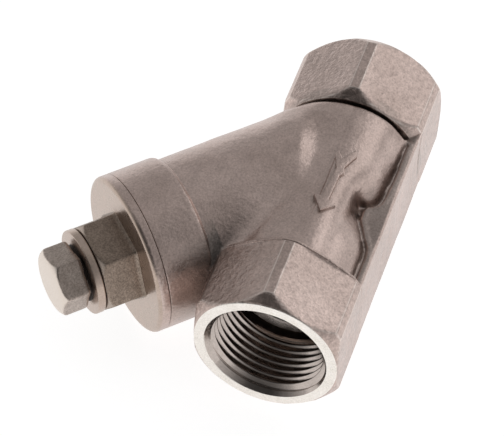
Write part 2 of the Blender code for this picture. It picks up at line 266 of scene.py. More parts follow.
# ------------------------------------------------------------ mesh helpers
def axis_frame(direction):
    """Matrix that turns local +Z to the direction and keeps local +Y upright."""
    side = UP.cross(direction)
    return Matrix((side, UP, direction)).transposed().to_4x4()


def mesh_object(name, points_mm, faces, direction=None):
    """Object from points in millimetres; a direction turns local Z to that axis."""
    points = np.asarray(points_mm, float) * MM
    if direction is not None:
        turn = np.array(axis_frame(direction).to_3x3())
        points = points @ turn.T
    mesh = bpy.data.meshes.new(name)
    mesh.from_pydata(points.tolist(), [], faces)
    mesh.update()
    obj = bpy.data.objects.new(name, mesh)
    bpy.context.scene.collection.objects.link(obj)
    return obj


def face_outward(obj):
    """Turns the faces of a closed mesh outward."""
    builder = bmesh.new()
    builder.from_mesh(obj.data)
    bmesh.ops.recalc_face_normals(builder, faces=builder.faces)
    if builder.calc_volume(signed=True) < 0.0:
        bmesh.ops.reverse_faces(builder, faces=builder.faces)
    builder.to_mesh(obj.data)
    builder.free()
    return obj


def swept(name, rows, angles, direction, closed=False, helix=None):
    """Solid about local Z from rows of (z, radius at each angle); closed rows make a ring.

    A helix names its first and last row and how many rows make one turn: those rows climb
    one turn on their way round, so the last column joins the first one a turn higher.
    """
    count = len(angles)
    points = []
    for height, radius in rows:
        heights = np.broadcast_to(height, count)
        points.append(np.column_stack([radius * np.cos(angles), radius * np.sin(angles), heights]))
    faces = []
    pairs = [(row, row + 1) for row in range(len(rows) - 1)]
    if closed:
        pairs.append((len(rows) - 1, 0))
    if helix is not None:
        first, last, turn = helix
        end = count - 1
        for row in range(first, last - turn):
            low, high = row * count, (row + 1) * count
            faces.append((low + end, low + turn * count, high + turn * count, high + end))
        start_column = [row * count for row in range(first, first + turn + 1)]
        faces.append(((first - 1) * count + end, (first - 1) * count, *start_column, first * count + end))
        end_column = [row * count + end for row in range(last, last - turn - 1, -1)]
        faces.append((last * count, (last + 1) * count, (last + 1) * count + end, *end_column))
    for low, high in pairs:
        for step in range(count):
            if helix is not None and step == count - 1 and first - 1 <= low <= last:
                continue
            after = (step + 1) % count
            faces.append((low * count + step, low * count + after, high * count + after, high * count + step))
    if not closed:
        faces.append(tuple(range(count)))
        faces.append(tuple((len(rows) - 1) * count + step for step in range(count)))
    return face_outward(mesh_object(name, np.concatenate(points), faces, direction))


def even_angles(count):
    return np.linspace(0.0, 2.0 * math.pi, count, endpoint=False)


def turned(name, profile, direction, count):
    """Plain solid of revolution through (z, radius) points."""
    return swept(name, profile, even_angles(count), direction)


def boolean(target, tool, operation, finish=None):
    """Applies one Boolean with closed meshes and removes the tool; its faces bring its finish along."""
    if finish is not None:
        tool.data.materials.append(finish)
    modifier = target.modifiers.new("cut", "BOOLEAN")
    modifier.operation = operation
    modifier.solver = "MANIFOLD"
    modifier.material_mode = "TRANSFER"
    modifier.object = tool
    graph = bpy.context.evaluated_depsgraph_get()
    result = bpy.data.meshes.new_from_object(target.evaluated_get(graph), depsgraph=graph)
    target.modifiers.remove(modifier)
    old = target.data
    target.data = result
    bpy.data.meshes.remove(old)
    tool_mesh = tool.data
    bpy.data.objects.remove(tool)
    bpy.data.meshes.remove(tool_mesh)
    return target


def soft_min(first, second, width):
    """Smooth minimum: rounds the meeting of two values over the given width."""
    blend = np.clip(0.5 + 0.5 * (second - first) / width, 0.0, 1.0)
    return second + (first - second) * blend - width * blend * (1.0 - blend)


def soft_max(first, second, width):
    return -soft_min(-first, -second, width)


def offset_rows(place, radius, steps):
    """Rows (place, radius) from steps along the axis and outward."""
    return [(place + along, radius + out) for along, out in steps]


def eased(share):
    """Smooth step from 0 to 1."""
    share = np.clip(share, 0.0, 1.0)
    return share * share * (3.0 - 2.0 * share)


# ------------------------------------------------------------ hexagons and threads
def hex_angles(turn):
    """Angles round a hexagon, close together at its corners."""
    half_side = [0.0, 7.0, 14.0, 19.0, 22.0, 24.0, 25.2, 26.0, 26.6, 27.3, 28.2, 29.2]
    side = [-30.0] + [-value for value in reversed(half_side[1:])] + half_side
    steps = [side_index * 60.0 + offset for side_index in range(6) for offset in side]
    return np.radians(steps) + turn


def hex_offset(angles, turn):
    """Angle from the middle of the nearest flat, at most 30 degrees either way."""
    return (angles - turn + math.pi / 6.0) % (math.pi / 3.0) - math.pi / 6.0


def hex_radii(angles, turn, half_flats, corner_r, softness):
    """Radius of a hexagon with trimmed corners at each angle."""
    return soft_min(half_flats / np.cos(hex_offset(angles, turn)), np.full_like(angles, corner_r), softness)


def male(thread):
    """The same thread, smaller by the play, for the piece that screws in."""
    pitch, major, minor = thread
    return pitch, major - THREAD_PLAY, minor - THREAD_PLAY


def thread_rows(angles, thread, start, end, fade, per_pitch=11):
    """Rows of a right-hand helical thread that runs out at both stations."""
    pitch, major, minor = thread
    count = max(2, int(round((end - start) / pitch * per_pitch)))
    rows = []
    for step in range(count + 1):
        place = start + (end - start) * step / count
        turn = (place / pitch - angles / (2.0 * math.pi)) % 1.0
        flank = np.abs(turn - 0.5) * 2.0
        tooth = np.clip((flank - THREAD_FLAT) / (1.0 - 2.0 * THREAD_FLAT), 0.0, 1.0)
        tooth = eased(tooth) * THREAD_EASE + tooth * (1.0 - THREAD_EASE)
        run_in = max(0.0, min(1.0, (place - start) / fade, (end - place) / fade))
        rows.append((place, minor + (major - minor) * tooth * run_in))
    return rows


# ------------------------------------------------------------ cast shapes from distance fields
def untangle(values):
    """Turns the value nearest zero wherever the four corners of a grid face alternate in sign.

    Without such faces each edge of the mesh joins two faces, so the mesh is closed.
    """
    whole, first, last = slice(None), slice(None, -1), slice(1, None)
    for _ in range(20):
        changed = False
        for one, two in ((0, 1), (0, 2), (1, 2)):
            corners = []
            for part_one, part_two in ((first, first), (last, first), (last, last), (first, last)):
                part = [whole] * 3
                part[one], part[two] = part_one, part_two
                corners.append(values[tuple(part)])
            a, b, c, d = (corner < 0.0 for corner in corners)
            for place in np.argwhere((a == c) & (b == d) & (a != b)):
                nearest = min(corners, key=lambda corner: abs(corner[tuple(place)]))
                nearest[tuple(place)] = -1e-4 * np.sign(nearest[tuple(place)] + 1e-12)
                changed = True
        if not changed:
            return


def surface_net(name, field, low, high, cell):
    """Closed mesh where a distance field crosses zero inside a box, all in millimetres."""
    axes = [np.arange(start, end + cell, cell) for start, end in zip(low, high)]
    grid = np.meshgrid(*axes, indexing="ij")
    values = field(*grid)
    untangle(values)
    inside = values < 0.0
    shape = [size - 1 for size in inside.shape]

    def corner(source, shift):
        return source[tuple(slice(step, step + size) for step, size in zip(shift, shape))]

    shifts = [(a, b, c) for a in (0, 1) for b in (0, 1) for c in (0, 1)]
    full = sum(corner(inside, shift).astype(np.int8) for shift in shifts)
    active = (full > 0) & (full < 8)
    cells = np.argwhere(active)
    index = np.full(shape, -1, np.int64)
    index[active] = np.arange(len(cells))
    total = np.zeros((len(cells), 3))
    weight = np.zeros(len(cells))
    for first in shifts:
        for axis in range(3):
            if first[axis]:
                continue
            second = tuple(value + (place == axis) for place, value in enumerate(first))
            near = values[tuple((cells + first).T)]
            far = values[tuple((cells + second).T)]
            crossing = (near < 0.0) != (far < 0.0)
            share = near[crossing] / (near[crossing] - far[crossing])
            points = (cells[crossing] + first).astype(float)
            points[:, axis] += share
            total[crossing] += points
            weight[crossing] += 1.0
    points = total / weight[:, None] * cell + np.array([axis[0] for axis in axes])
    points = settle(points, field, cell)
    quads = []
    for axis in range(3):
        one, two = [other for other in range(3) if other != axis]
        lower = np.take(inside, range(shape[axis]), axis)
        upper = np.take(inside, range(1, shape[axis] + 1), axis)
        edges = np.argwhere(lower != upper)
        keep = (edges[:, one] > 0) & (edges[:, two] > 0)
        keep &= (edges[:, one] < shape[one]) & (edges[:, two] < shape[two])
        edges = edges[keep]
        around = []
        for step_one, step_two in ((0, 0), (-1, 0), (-1, -1), (0, -1)):
            neighbour = edges.copy()
            neighbour[:, one] += step_one
            neighbour[:, two] += step_two
            around.append(index[tuple(neighbour.T)])
        quads.append(np.stack(around, 1))
        flip = lower[tuple(edges.T)] == (axis == 1)
        quads[-1][flip] = quads[-1][flip][:, ::-1]
    faces = np.concatenate(quads)
    return face_outward(mesh_object(name, points, faces.tolist()))


def settle(points, field, cell, rounds=3):
    """Moves points onto the zero of a field along its slope, less than one cell in all."""
    start = points.copy()
    step = cell * 0.05
    for _ in range(rounds):
        value = field(*points.T)
        slope = np.empty_like(points)
        for axis in range(3):
            shifted = points.copy()
            shifted[:, axis] += step
            slope[:, axis] = (field(*shifted.T) - value) / step
        size = np.maximum((slope * slope).sum(1), 0.2)
        points = points - slope * (value / size)[:, None]
        points = start + np.clip(points - start, -0.75 * cell, 0.75 * cell)
    return points


def waviness(x, y, z):
    """Slow unevenness of the cast skin, in millimetres."""
    wave = np.sin(0.37 * x + 0.21 * y + 1.3) * np.sin(0.29 * y - 0.33 * z + 0.4)
    wave += 0.6 * np.sin(0.83 * x - 0.62 * z + 2.1) * np.sin(0.71 * y + 0.55 * x)
    wave += 0.35 * np.sin(1.9 * x + 1.1 * y - 1.4 * z) * np.sin(1.7 * z - 1.3 * y + 0.8)
    return wave * CAST_WAVE


def about_branch(x, y, z):
    """Place along the branch axis, and distance from it."""
    return (x - y) * ROOT_HALF, np.hypot((x + y) * ROOT_HALF, z)


def run_field(x, y, z):
    """Bulge around the partition and bell behind the outlet hexagon."""
    run_r = np.hypot(y, z)
    ahead = np.maximum(x - BULGE_CENTRE_X, 0.0) / BULGE_LENGTH
    bulge_r = BULGE_R - BULGE_TAPER * x + SHOULDER_RIM * np.exp(-((x - SHOULDER_X) / 1.1) ** 2)
    bulge = ((ahead ** BULGE_POWER + (run_r / bulge_r) ** BULGE_POWER) ** (1.0 / BULGE_POWER) - 1.0) * bulge_r
    bulge = soft_max(bulge, SHOULDER_X - x, 0.8)
    cone_r = BELL_START_R + BELL_SLOPE * (x - BELL_START_X)
    bell = (run_r - soft_min(cone_r, np.full_like(x, BELL_R), 1.2)) * BELL_LEAN
    bell = np.maximum(bell, np.maximum(BELL_START_X - 7.0 - x, x - OUTLET_HEX_START - HEX_OVERLAP))
    return soft_min(bulge, bell, 0.8)


def tube_field(x, y, z):
    """Tube of the branch with its round root, and the hollow between it and the run."""
    along, branch_r = about_branch(x, y, z)
    root = np.maximum(ROOT_CENTRE - along, 0.0) / ROOT_LENGTH
    tube = ((root ** ROOT_POWER + (branch_r / TUBE_R) ** ROOT_POWER) ** (1.0 / ROOT_POWER) - 1.0) * TUBE_R
    # the hollow fades in over z = 4 to 10 and x = -3 to 2, and out over x = 14 to 21
    valley = eased((y - VALLEY_Y - 0.25 * (x - 5.0)) / VALLEY_WIDTH) * eased((z - 4.0) / 6.0)
    tube = tube + VALLEY_DEPTH * valley * eased((x + 3.0) / 5.0) * eased((21.0 - x) / 7.0)
    return np.maximum(tube, along - COLLAR_START - TUBE_OVERLAP)


def rib_field(x, y, z, body):
    """Rib between the hexagons, with the channel sunk beside the body and the channel's raised lip."""
    beside = body - np.interp(x, *CHANNEL_WIDTH)
    lip = CHANNEL_LIP * np.exp(-((beside - 0.55) / 0.65) ** 2)
    rib = soft_max(y - RIB_FACE, np.abs(z) - RIB_HALF - lip, 0.5)
    ends = np.maximum(INLET_HEX_END - 4.0 - x, x - OUTLET_HEX_START - HEX_OVERLAP)
    rib = np.maximum(rib, np.maximum(4.0 - y, ends))
    depth = RIB_HALF - np.abs(z)
    channel = np.maximum(beside + 0.65 * np.maximum(depth, 0.0), depth - np.interp(x, *CHANNEL_DEPTH))
    return soft_max(rib, -channel, 0.6)


def casting_field(x, y, z):
    """Signed distance to the outside of the casting between its two hexagons."""
    run_r = np.hypot(y, z)
    ridge = soft_max(run_r - np.interp(x, *RIDGE_R), y - np.interp(x, *RIDGE_SIDE_Y), 4.5)
    ridge = np.maximum(ridge, np.maximum(x - OUTLET_HEX_START, SHOULDER_X - x))
    body = soft_min(run_field(x, y, z), ridge + 0.55, 1.6)
    # the web fills the corner between run and branch
    body = soft_min(tube_field(x, y, z), body, np.interp(y, *WEB_WIDTH))
    body = soft_min(body, soft_max(ridge - 0.3, RIDGE_STEP_Y - y, 0.7), 0.6)
    # the shoulder's cone ends the body towards the neck
    body = soft_max(body, (run_r - LIP_R - LIP_SLOPE * (x - SHOULDER_X)) * LIP_LEAN, 0.8)
    neck = np.maximum(run_r - NECK_R, np.maximum(INLET_HEX_END - 3.0 - x, x - NECK_END_X))
    body = soft_min(body, neck, 0.8)
    whole = soft_min(body, rib_field(x, y, z, body), 0.6) + waviness(x, y, z)
    whole = soft_max(whole, y - RIB_FACE, 0.3)
    return np.maximum(whole, INLET_HEX_END - 4.2 - x)


def outline_distance(x, y, outline):
    """Signed distance in the plane to a closed outline."""
    best = np.full(np.shape(x), np.inf)
    inside = np.zeros(np.shape(x), bool)
    for (ax, ay), (bx, by) in zip(outline, outline[1:] + outline[:1]):
        edge_x, edge_y = bx - ax, by - ay
        share = ((x - ax) * edge_x + (y - ay) * edge_y) / (edge_x ** 2 + edge_y ** 2)
        share = np.clip(share, 0.0, 1.0)
        best = np.minimum(best, np.hypot(x - ax - share * edge_x, y - ay - share * edge_y))
        crosses = (ay > y) != (by > y)
        side = (bx - ax) * (y - ay) / np.where(by == ay, 1.0, by - ay) + ax
        inside ^= crosses & (x < side)
    return np.where(inside, -best, best)


def arrow_field(x, y, z):
    """Flow arrow that stands proud of the casting, all its edges a little rounded."""
    flat = outline_distance(x, y, ARROW_OUTLINE)
    raised = soft_max(casting_field(x, y, z) - ARROW_HEIGHT, flat, 0.22)
    return np.maximum(raised, ARROW_CUT_Z - z)


def to_arrow(x, y, z):
    """Distance to the arrow, without the flat underside that its blank has inside the casting."""
    return np.where(z > ARROW_NEAR_Z, arrow_field(x, y, np.maximum(z, ARROW_CUT_Z + 0.5)), np.inf)


# ------------------------------------------------------------ values painted on the vertices
def coordinates(mesh, kind="co"):
    """Positions in metres, or normals, of a mesh's vertices as an array of rows."""
    values = np.empty(len(mesh.vertices) * 3)
    mesh.vertices.foreach_get(kind, values)
    return values.reshape(-1, 3)


def paint(obj, name, values):
    """Stores one number for each vertex, which the materials read by its name."""
    attribute = obj.data.attributes.new(name, "FLOAT", "POINT")
    attribute.data.foreach_set("value", values.astype(np.float32))


def paint_crevice_shade(obj):
    """Paints "crevice", painted shade: how much of the casting stands near each point, 0 open to 1 closed in.
    """
    points = coordinates(obj.data) / MM
    normals = coordinates(obj.data, "normal")
    total = np.zeros(len(points))
    between = (points[:, 0] > INLET_HEX_END - 3.0) & (points[:, 0] < OUTLET_HEX_START - 0.2)
    for length, share in CREVICE_SHADE_REACH:
        x, y, z = (points + normals * length).T
        along, branch_r = about_branch(x, y, z)
        past_ends = np.minimum(x - INLET_HEX_END, OUTLET_HEX_START - x)
        hexagon = np.maximum(np.hypot(y, z) - HEX_R_MEAN, past_ends)
        near = np.where(between, np.minimum(casting_field(x, y, z), hexagon), length)
        near = np.minimum(near, np.maximum(branch_r - COLLAR_R, COLLAR_START - along))
        near = np.minimum(near, to_arrow(x, y, z))
        total += share * np.clip((length - near) / length - 0.12, 0.0, 1.0)
    x, y, z = points.T
    along, branch_r = about_branch(x, y, z)
    # painted shade on the collar where it comes near the outlet hexagon
    on_collar = (along > COLLAR_START - 3.0) & (branch_r < COLLAR_R + 0.3)
    gap = np.maximum(np.hypot(y, z) - HEX_R_MEAN, OUTLET_HEX_START - x)
    total += COLLAR_GAP_SHADE * np.clip(1.0 - gap / COLLAR_GAP_SHADE_REACH, 0.0, 1.0) * on_collar
    # painted shade on the rib's flat top and bottom faces
    on_rib = np.clip((np.abs(z) - RIB_HALF + 0.5) / 0.4, 0.0, 1.0) * (np.abs(z) < RIB_HALF + 0.6) * (y > 5.0)
    level = np.clip((np.abs(normals[:, 2]) - 0.85) / 0.1, 0.0, 1.0)
    total += RIB_TOP_SHADE * on_rib * level * between
    paint(obj, "crevice_shade", np.clip(total, 0.0, 1.0))


def paint_edge_highlight(obj):
    """Paints "edge", a painted highlight: 1 on the edges of the two end hexagons, which the casting's colour
    turns bright.
    """
    x, y, z = (coordinates(obj.data) / MM).T
    radius = np.hypot(y, z)
    offset = hex_offset(np.arctan2(z, y), 0.0)
    prism_r = np.minimum(HALF_FLATS / np.cos(offset), HEX_CORNER_R)
    open_air = np.ones(len(x), bool)
    off_rib = (y < HALF_FLATS - 0.5) | (np.abs(z) > RIB_HALF + 0.1)
    total = np.zeros(len(x))
    for depth, clear in ((x - INLET_X, open_air), (INLET_HEX_END - x, off_rib), (OUTLET_X - x, open_air)):
        near = np.clip(1.0 - np.abs(prism_r - HALF_FLATS - depth * CHAMFER_SLOPE) / EDGE_WIDTH, 0.0, 1.0)
        total = np.maximum(total, near * clear * (depth < HEX_CHAMFER + 0.5) * (depth > -0.1))
    corner = math.acos(HALF_FLATS / HEX_CORNER_R)
    away = np.abs(np.abs(offset) - corner) * HEX_CORNER_R
    total = np.maximum(total, np.clip(1.0 - away / EDGE_WIDTH, 0.0, 1.0) * (radius > HEX_CORNER_R - 0.3))
    off_branch = about_branch(x, y, z)[1] > COLLAR_R + 0.1
    on_hex = (x < INLET_HEX_END + 0.1) | ((x > OUTLET_HEX_START - 0.1) & off_branch)
    paint(obj, "edge", total * on_hex * (radius > HALF_FLATS - 0.3))


def paint_dome(obj, turn, flats, end, top):
    """Paints "dome": 1 where the turned end of a bar hexagon has taken its flats away."""
    local = coordinates(obj.data) / MM @ np.array(axis_frame(BRANCH_AXIS).to_3x3())
    plain = flats / 2.0 / np.cos(hex_offset(np.arctan2(local[:, 1], local[:, 0]), turn))
    depths, limits = zip(*reversed(top))
    limit = np.interp(end - local[:, 2], depths, limits)
    share = np.clip((plain - limit) / DOME_BLEND, 0.0, 1.0)
    share[(end - local[:, 2]) > depths[-1]] = 0.0
    paint(obj, "dome", share)


def smooth_cast_skin(mesh):
    """Clears the sharp marks on the cast skin between the hexagons, where nothing is machined."""
    marks = mesh.attributes["sharp_edge"]
    sharp = np.zeros(len(mesh.edges), bool)
    marks.data.foreach_get("value", sharp)
    ends = np.empty(len(mesh.edges) * 2, np.int32)
    mesh.edges.foreach_get("vertices", ends)
    x, y, z = (coordinates(mesh)[ends.reshape(-1, 2)].mean(1) / MM).T
    skin = np.abs(casting_field(x, y, z)) < 0.15
    skin &= (x > INLET_HEX_END + 0.15) & (x < OUTLET_HEX_START - 1.2)
    skin &= about_branch(x, y, z)[0] < COLLAR_START - 1.0
    skin &= to_arrow(x, y, z) > 0.35
    marks.data.foreach_set("value", sharp & ~skin)


def give_finish(obj, finish, chosen):
    """Gives a finish to the faces that a test of their middle, in millimetres, and normal picks."""
    obj.data.materials.append(finish)
    for face in obj.data.polygons:
        if chosen(face.center / MM, face.normal):
            face.material_index = len(obj.data.materials) - 1


# ------------------------------------------------------------ body
def flared_rows(start, angles, plain):
    """Rows of the outlet hexagon's inner end: a thin flared rim, cut level with the rib's face."""
    level = PRISM_HALF / np.maximum(np.cos(angles), 0.5)
    rim = np.minimum(plain + (BEAD_R - plain) * RIM_SHARE, BEAD_R)
    steps = [(1.1, 2.6), (1.0, 0.8), (0.85, 0.38), (0.6, 0.1), (0.35, 0.0), (0.12, 0.03), (0.0, 0.14)]
    rows = [(start - back, np.minimum(rim - drop, level)) for back, drop in steps]
    for share in (0.03, 0.08, 0.16, 0.27, 0.4, 0.55, 0.75, 1.0):
        rise = 1.0 - math.sqrt(1.0 - (1.0 - share) ** 2)
        rows.append((start + FLARE * share, np.minimum(plain + (rim - 0.2 - plain) * rise, level)))
    return rows


def end_hexagon(name, direction, end, start, coned_start):
    """Hexagon of the run along a direction, coned at its outer end, and coned or flared at the other."""
    angles = hex_angles(0.0)
    plain = hex_radii(angles, 0.0, PRISM_HALF, HEX_CORNER_R, 0.18)

    def coned(radius):
        return soft_min(plain, np.full_like(angles, radius), 0.25)

    if coned_start:
        rows = [(start, HALF_FLATS - 0.5)]
        for depth in (0.1, 0.3, 0.6, 1.0, 1.4, 1.8, 2.1, 2.4, 2.7, 3.1):
            rows.append((start + depth, coned(HALF_FLATS - 0.15 + depth * CHAMFER_SLOPE)))
    else:
        rows = flared_rows(start, angles, plain)
    rows += offset_rows((start + end) / 2.0, plain, [(-2.0, 0.0), (2.0, 0.0)])
    for depth in (3.1, 2.8, 2.5, 2.3, 2.0, 1.7, 1.4, 1.1, 0.8, 0.5, 0.3):
        rows.append((end - depth, coned(HALF_FLATS + depth * CHAMFER_SLOPE)))
    rows += offset_rows(end, HALF_FLATS, [(-0.12, -0.06), (-0.03, -0.18), (0.0, -0.34)])
    return swept(name, rows, angles, direction)


def port_cutter(name, direction, face):
    """Threaded port: countersink, thread and the plain bore behind it.

    The rows of the thread climb with the helix, so its crests and roots follow edges of the mesh.
    """
    pitch, major, minor = PORT_THREAD
    angles = even_angles(PORT_SIDES)
    climb = pitch * angles / (2.0 * math.pi)
    bottom = face - PORT_DEPTH
    rows = [(bottom - 3.0, PASSAGE_R - 1.0), (bottom - pitch - 0.2, minor - 0.25)]
    first = len(rows)
    count = int(math.ceil((PORT_DEPTH + pitch + 0.6) / pitch * len(PORT_TOOTH)))
    for step in range(count + 1):
        turn, tooth = divmod(step, len(PORT_TOOTH))
        share, height = PORT_TOOTH[tooth]
        place = bottom - pitch + (turn + share) * pitch + climb
        run_in = np.clip((place - bottom) / 1.6, 0.0, 1.0)
        sink = PORT_SINK_R - (face - place) * PORT_SINK_SLOPE
        rows.append((place, np.maximum(minor + (major - minor) * height * run_in, sink)))
    last = len(rows) - 1
    rows.append((face + 2.0 * pitch, PORT_SINK_R + 2.0))
    return swept(name, rows, angles, direction, helix=(first, last, len(PORT_TOOTH)))


def passage_cutter(name, start, end, start_r, end_r, span):
    """Flow passage about the run that ends at a face of the partition."""
    passage = turned(name, [(start, start_r), (end, end_r)], RUN_AXIS, PASSAGE_SIDES)
    corners = [(-FAR, -FAR), (FAR, -FAR), (FAR, FAR), (-FAR, FAR)]
    points = [(a, b, height) for height in span for a, b in corners]
    faces = [(0, 1, 2, 3), (4, 5, 6, 7)]
    faces += [(step, (step + 1) % 4, (step + 1) % 4 + 4, step + 4) for step in range(4)]
    limit = face_outward(mesh_object(name + "_limit", points, faces, BRANCH_AXIS))
    return boolean(passage, limit, "INTERSECT")


def branch_cutter():
    """Screen chamber, seat, cap thread and gasket groove."""
    angles = even_angles(CHAMBER_SIDES)
    groove = COLLAR_END - GASKET_GROOVE
    rows = [(-PARTITION_HALF - 1.0, SEAT_HOLE_R), (SEAT_FLOOR, SEAT_HOLE_R), (SEAT_FLOOR, SEAT_R)]
    rows += offset_rows(PARTITION_HALF, SEAT_R, [(-0.3, 0.0), (0.0, 0.3)])
    rows += offset_rows(PARTITION_HALF, CHAMBER_R, [(0.0, -0.6), (0.6, 0.0)])
    rows.append((CAP_THREAD_START, CHAMBER_R))
    rows += thread_rows(angles, CAP_THREAD, CAP_THREAD_START + 0.2, groove - 0.2, fade=0.8)
    rows += [(groove, CAP_THREAD[1]), (groove, GASKET_GROOVE_R), (COLLAR_END + 3.0, GASKET_GROOVE_R)]
    return swept("branch_cutter", rows, angles, BRANCH_AXIS)


def collar():
    """Machined collar that the cap closes on, stepped up from the cast tube."""
    rows = offset_rows(COLLAR_START, TUBE_R, [(-0.9, -1.5), (-0.55, -0.1), (-0.25, 0.12), (0.0, 0.42)])
    rows += offset_rows(COLLAR_START, COLLAR_R, [(0.3, -0.16), (0.7, -0.03), (1.2, 0.0)])
    rows += offset_rows(COLLAR_END, COLLAR_R, [(-0.35, 0.0), (-0.08, -0.05), (0.0, -0.16)])
    return turned("collar", rows, BRANCH_AXIS, COLLAR_SIDES)


def body_casting():
    """The whole casting: the pieces of its outside joined, then each bore cut with its own finish."""
    low = (INLET_HEX_END - 5.0, -COLLAR_START * ROOT_HALF - 15.0, -18.6)
    high = (OUTLET_HEX_START + 10.5, HALF_FLATS + 0.8, 18.6)
    body = surface_net("body_casting", casting_field, low, high, CAST_CELL)
    body.data.materials.append(CAST)
    joined = [
        (end_hexagon("inlet_hex", -RUN_AXIS, -INLET_X, -INLET_HEX_END, True), CAST_HEX),
        (end_hexagon("outlet_hex", RUN_AXIS, OUTLET_X, OUTLET_HEX_START, False), CAST_HEX),
        (collar(), CAST),
        (surface_net("arrow", arrow_field, (2.0, -2.0, 10.2), (27.0, 8.5, 17.5), ARROW_CELL), CAST),
    ]
    for part, finish in joined:
        boolean(body, part, "UNION", finish)
    inlet_end = INLET_X + PORT_DEPTH - 0.5
    outlet_start = OUTLET_X - PORT_DEPTH + 0.5
    before, after = (-FAR, -PARTITION_HALF), (PARTITION_HALF, FAR)
    # the bores' inside finish is dark scale darkened further as painted shade
    bores = [
        (branch_cutter(), INSIDE_SCALE_AND_SHADE),
        (port_cutter("inlet_port", -RUN_AXIS, -INLET_X), MACHINED),
        (port_cutter("outlet_port", RUN_AXIS, OUTLET_X), MACHINED),
        (passage_cutter("inlet_way", inlet_end, INLET_PASSAGE_END, PASSAGE_R, PASSAGE_R, before), INSIDE_SCALE_AND_SHADE),
        (passage_cutter("outlet_way", WAIST_X, outlet_start, WAIST_R, PASSAGE_R, after), INSIDE_SCALE_AND_SHADE),
    ]
    for cutter, finish in bores:
        boolean(body, cutter, "DIFFERENCE", finish)
    # painted shade in the crevices, then a painted highlight on the hexagons' edges
    paint_crevice_shade(body)
    paint_edge_highlight(body)

    def on_end_face(place, normal):
        return not INLET_X + RING_EDGE <= place.x <= OUTLET_X - RING_EDGE

    give_finish(body, RING, on_end_face)
    return body


# ------------------------------------------------------------ cap, plug and gaskets
def turned_top(flats, steps):
    """Depths and radii of a turned end, from steps that start at the hexagon's corners."""
    return offset_rows(0.0, flats / math.sqrt(3.0), steps)


def small_hexagon(turn, flats, base, end, sink, flare, top):
    """Bar hexagon about the branch axis, wider or narrower by the flare at its base, with a turned top."""
    angles = hex_angles(turn)
    plain = hex_radii(angles, turn, flats / 2.0, flats / math.sqrt(3.0) * CORNER_TRIM, 0.22)
    rows = [(base - sink, plain + flare)]
    for height, share in ((0.0, 1.0), (0.12, 0.62), (0.28, 0.33), (0.5, 0.13), (0.8, 0.03), (1.2, 0.0)):
        rows.append((base + height, plain + flare * share))
    rows.append(((base + end) / 2.0, plain))
    for depth, radius in top:
        rows.append((end - depth, soft_min(plain, np.full_like(angles, radius), 0.2)))
    return swept("bar_hexagon", rows, angles, BRANCH_AXIS)


def cap_cutter():
    """Screen pocket, drain thread and the counterbore for the plug's gasket."""
    angles = even_angles(SMALL_SIDES)
    seal_floor = CAP_END - PLUG_SEAL_DEPTH
    rows = offset_rows(SPIGOT_START, SEAT_R, [(-2.0, 0.4), (0.0, 0.4), (0.5, 0.0)])
    rows += [(CAP_POCKET_END, SEAT_R), (CAP_POCKET_END + 1.4, DRAIN_THREAD[2] + 0.3)]
    rows += thread_rows(angles, DRAIN_THREAD, CAP_POCKET_END + 1.8, seal_floor - 0.3, fade=0.9)
    rows += [(seal_floor - 0.25, DRAIN_BORE_R), (seal_floor, DRAIN_BORE_R), (seal_floor, PLUG_SEAL_R)]
    rows.append((CAP_END + 2.0, PLUG_SEAL_R))
    return swept("cap_cutter", rows, angles, BRANCH_AXIS)


def cap_blank():
    """Threaded spigot and round flange of the cap."""
    angles = even_angles(COLLAR_SIDES)
    root_r = CAP_THREAD[2]
    rows = offset_rows(SPIGOT_START, root_r, [(0.0, -0.9), (0.15, -0.6)])
    rows += thread_rows(angles, male(CAP_THREAD), SPIGOT_START + 0.5, COLLAR_END - 1.0, fade=1.3)
    rows += [(COLLAR_END - 0.8, root_r - 0.35), (CAP_FLANGE_START, root_r - 0.35)]
    rows += offset_rows(CAP_FLANGE_START, COLLAR_R, [(0.0, -0.14), (0.05, -0.04), (0.15, 0.0)])
    for step in range(11):
        angle = math.radians(90.0 * step / 10.0)
        height = CAP_FLANGE_END - CAP_ROUND * (1.0 - math.sin(angle))
        rows.append((height, COLLAR_R - CAP_ROUND * 1.15 * (1.0 - math.cos(angle))))
    rows.append((CAP_FLANGE_END + 0.03, COLLAR_R - 3.5))
    rows.append((CAP_FLANGE_END + 0.05, CAP_HEX_FLATS / 2.0 + 2.2))
    return swept("cap", rows, angles, BRANCH_AXIS)


def cap_piece():
    """Cap: turned flange and spigot, bar hexagon, bored pocket, and the flange's rim left as cast."""
    cap = cap_blank()
    cap.data.materials.append(TURNED)
    top = turned_top(CAP_HEX_FLATS, CAP_TOP)
    base = CAP_FLANGE_END
    hexagon = small_hexagon(CAP_HEX_TURN, CAP_HEX_FLATS, base, CAP_END, CAP_HEX_SINK, CAP_HEX_FLARE, top)
    boolean(cap, hexagon, "UNION", CAP_BAR_SHADED)
    paint_dome(cap, CAP_HEX_TURN, CAP_HEX_FLATS, CAP_END, top)
    boolean(cap, cap_cutter(), "DIFFERENCE", MACHINED)

    def on_rim(place, normal):
        return from_branch(place)[1] > COLLAR_R - 0.5 and abs(normal.dot(BRANCH_AXIS)) < 0.5

    give_finish(cap, CAST, on_rim)
    return cap


